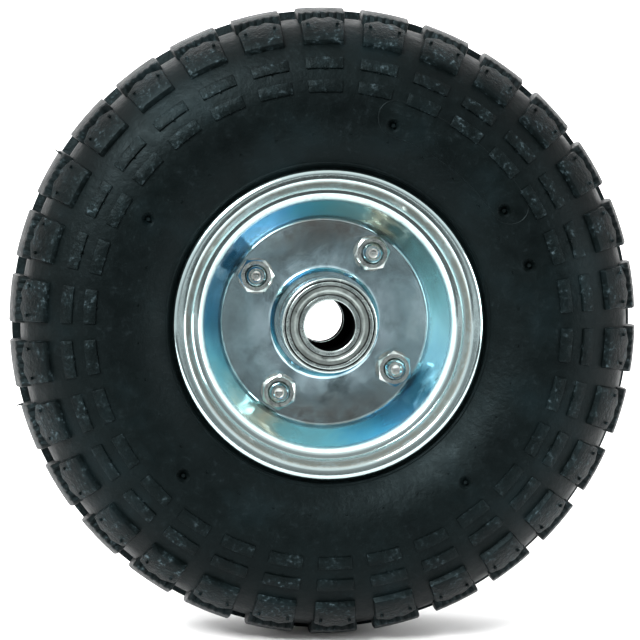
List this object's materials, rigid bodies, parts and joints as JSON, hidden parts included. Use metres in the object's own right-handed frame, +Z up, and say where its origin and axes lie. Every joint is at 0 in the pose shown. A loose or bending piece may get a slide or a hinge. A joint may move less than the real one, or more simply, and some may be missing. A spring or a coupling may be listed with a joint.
{
  "type": "hand truck wheel",
  "caption": "Pneumatic hand-truck wheel: lugged tyre on a two-piece dished steel rim bolted together, with a ball-bearing hub and a bent metal valve.",
  "frame": {"origin": "middle of the axle bore, which is the centre of the wheel", "axes": "+Y along the axle bore towards the back face with the bolt heads and the valve; +Z up; the nuts face -Y"},
  "size_m": [0.26, 0.0848, 0.26],
  "materials": {
    "inner_race_front": "ground",
    "inner_race_back": "ground",
    "spacer_tube": "drawn steel, oiled",
    "tyre": "matt moulded rubber with a little dust",
    "bead_wires": "drawn steel, oiled",
    "inner_tube": "matt soft rubber",
    "rim_front": "zinc plated with a clear blue passivation",
    "rim_back": "zinc plated with a clear blue passivation",
    "hub_tube": "zinc plated with a clear blue passivation",
    "outer_race_front": "ground",
    "outer_race_back": "ground",
    "bearing_shields": "pressed, greasy",
    "balls_front": "polished",
    "balls_back": "polished",
    "cage_front": "pressed",
    "cage_back": "pressed",
    "clamp_bolts": "zinc plated",
    "clamp_nuts": "zinc plated",
    "spring_washers": "zinc plated",
    "valve_base": "matt soft rubber",
    "valve_stem": "turned",
    "valve_washer": "zinc plated",
    "valve_nut": "turned",
    "valve_core": "turned",
    "valve_pin": "turned",
    "valve_cap": "moulded"
  },
  "bodies": {
    "axle_side": {"inner_race_front": "inner_race_front", "inner_race_back": "inner_race_back", "spacer_tube": "spacer_tube"},
    "wheel": {"tyre": "tyre", "bead_wires": "bead_wires", "inner_tube": "inner_tube", "rim_front": "rim_front", "rim_back": "rim_back", "hub_tube": "hub_tube", "outer_race_front": "outer_race_front", "outer_race_back": "outer_race_back", "bearing_shields": "bearing_shields", "clamp_bolts": "clamp_bolts", "clamp_nuts": "clamp_nuts", "spring_washers": "spring_washers", "valve_base": "valve_base", "valve_stem": "valve_stem", "valve_washer": "valve_washer", "valve_nut": "valve_nut", "valve_core": "valve_core"},
    "ball_set_front": {"cage_front": "cage_front", "balls_front": "balls_front"},
    "ball_set_back": {"cage_back": "cage_back", "balls_back": "balls_back"},
    "cap": {"valve_cap": "valve_cap"},
    "core_pin": {"valve_pin": "valve_pin"}
  },
  "joints": [
    {"name": "wheel_spin", "type": "hinge", "parent": "axle_side", "child": "wheel", "pos_m": [0, 0, 0], "axis": [0, 1, 0], "continuous": true},
    {"name": "ball_set_front_orbit", "type": "hinge", "parent": "axle_side", "child": "ball_set_front", "pos_m": [0, -0.032, 0], "axis": [0, 1, 0], "continuous": true},
    {"name": "ball_set_back_orbit", "type": "hinge", "parent": "axle_side", "child": "ball_set_back", "pos_m": [0, 0.032, 0], "axis": [0, 1, 0], "continuous": true},
    {"name": "valve_cap_pull", "type": "slide", "parent": "wheel", "child": "cap", "axis": [0, 1, 0], "range_m": [0, 0.014]},
    {"name": "valve_pin_press", "type": "slide", "parent": "wheel", "child": "core_pin", "axis": [0, -1, 0], "range_m": [0, 0.0012], "stiffness_N_per_m": 800}
  ],
  "couplings": [
    {"joint": "ball_set_front_orbit", "follows": "wheel_spin", "ratio": 0.5865},
    {"joint": "ball_set_back_orbit", "follows": "wheel_spin", "ratio": 0.5865}
  ]
}
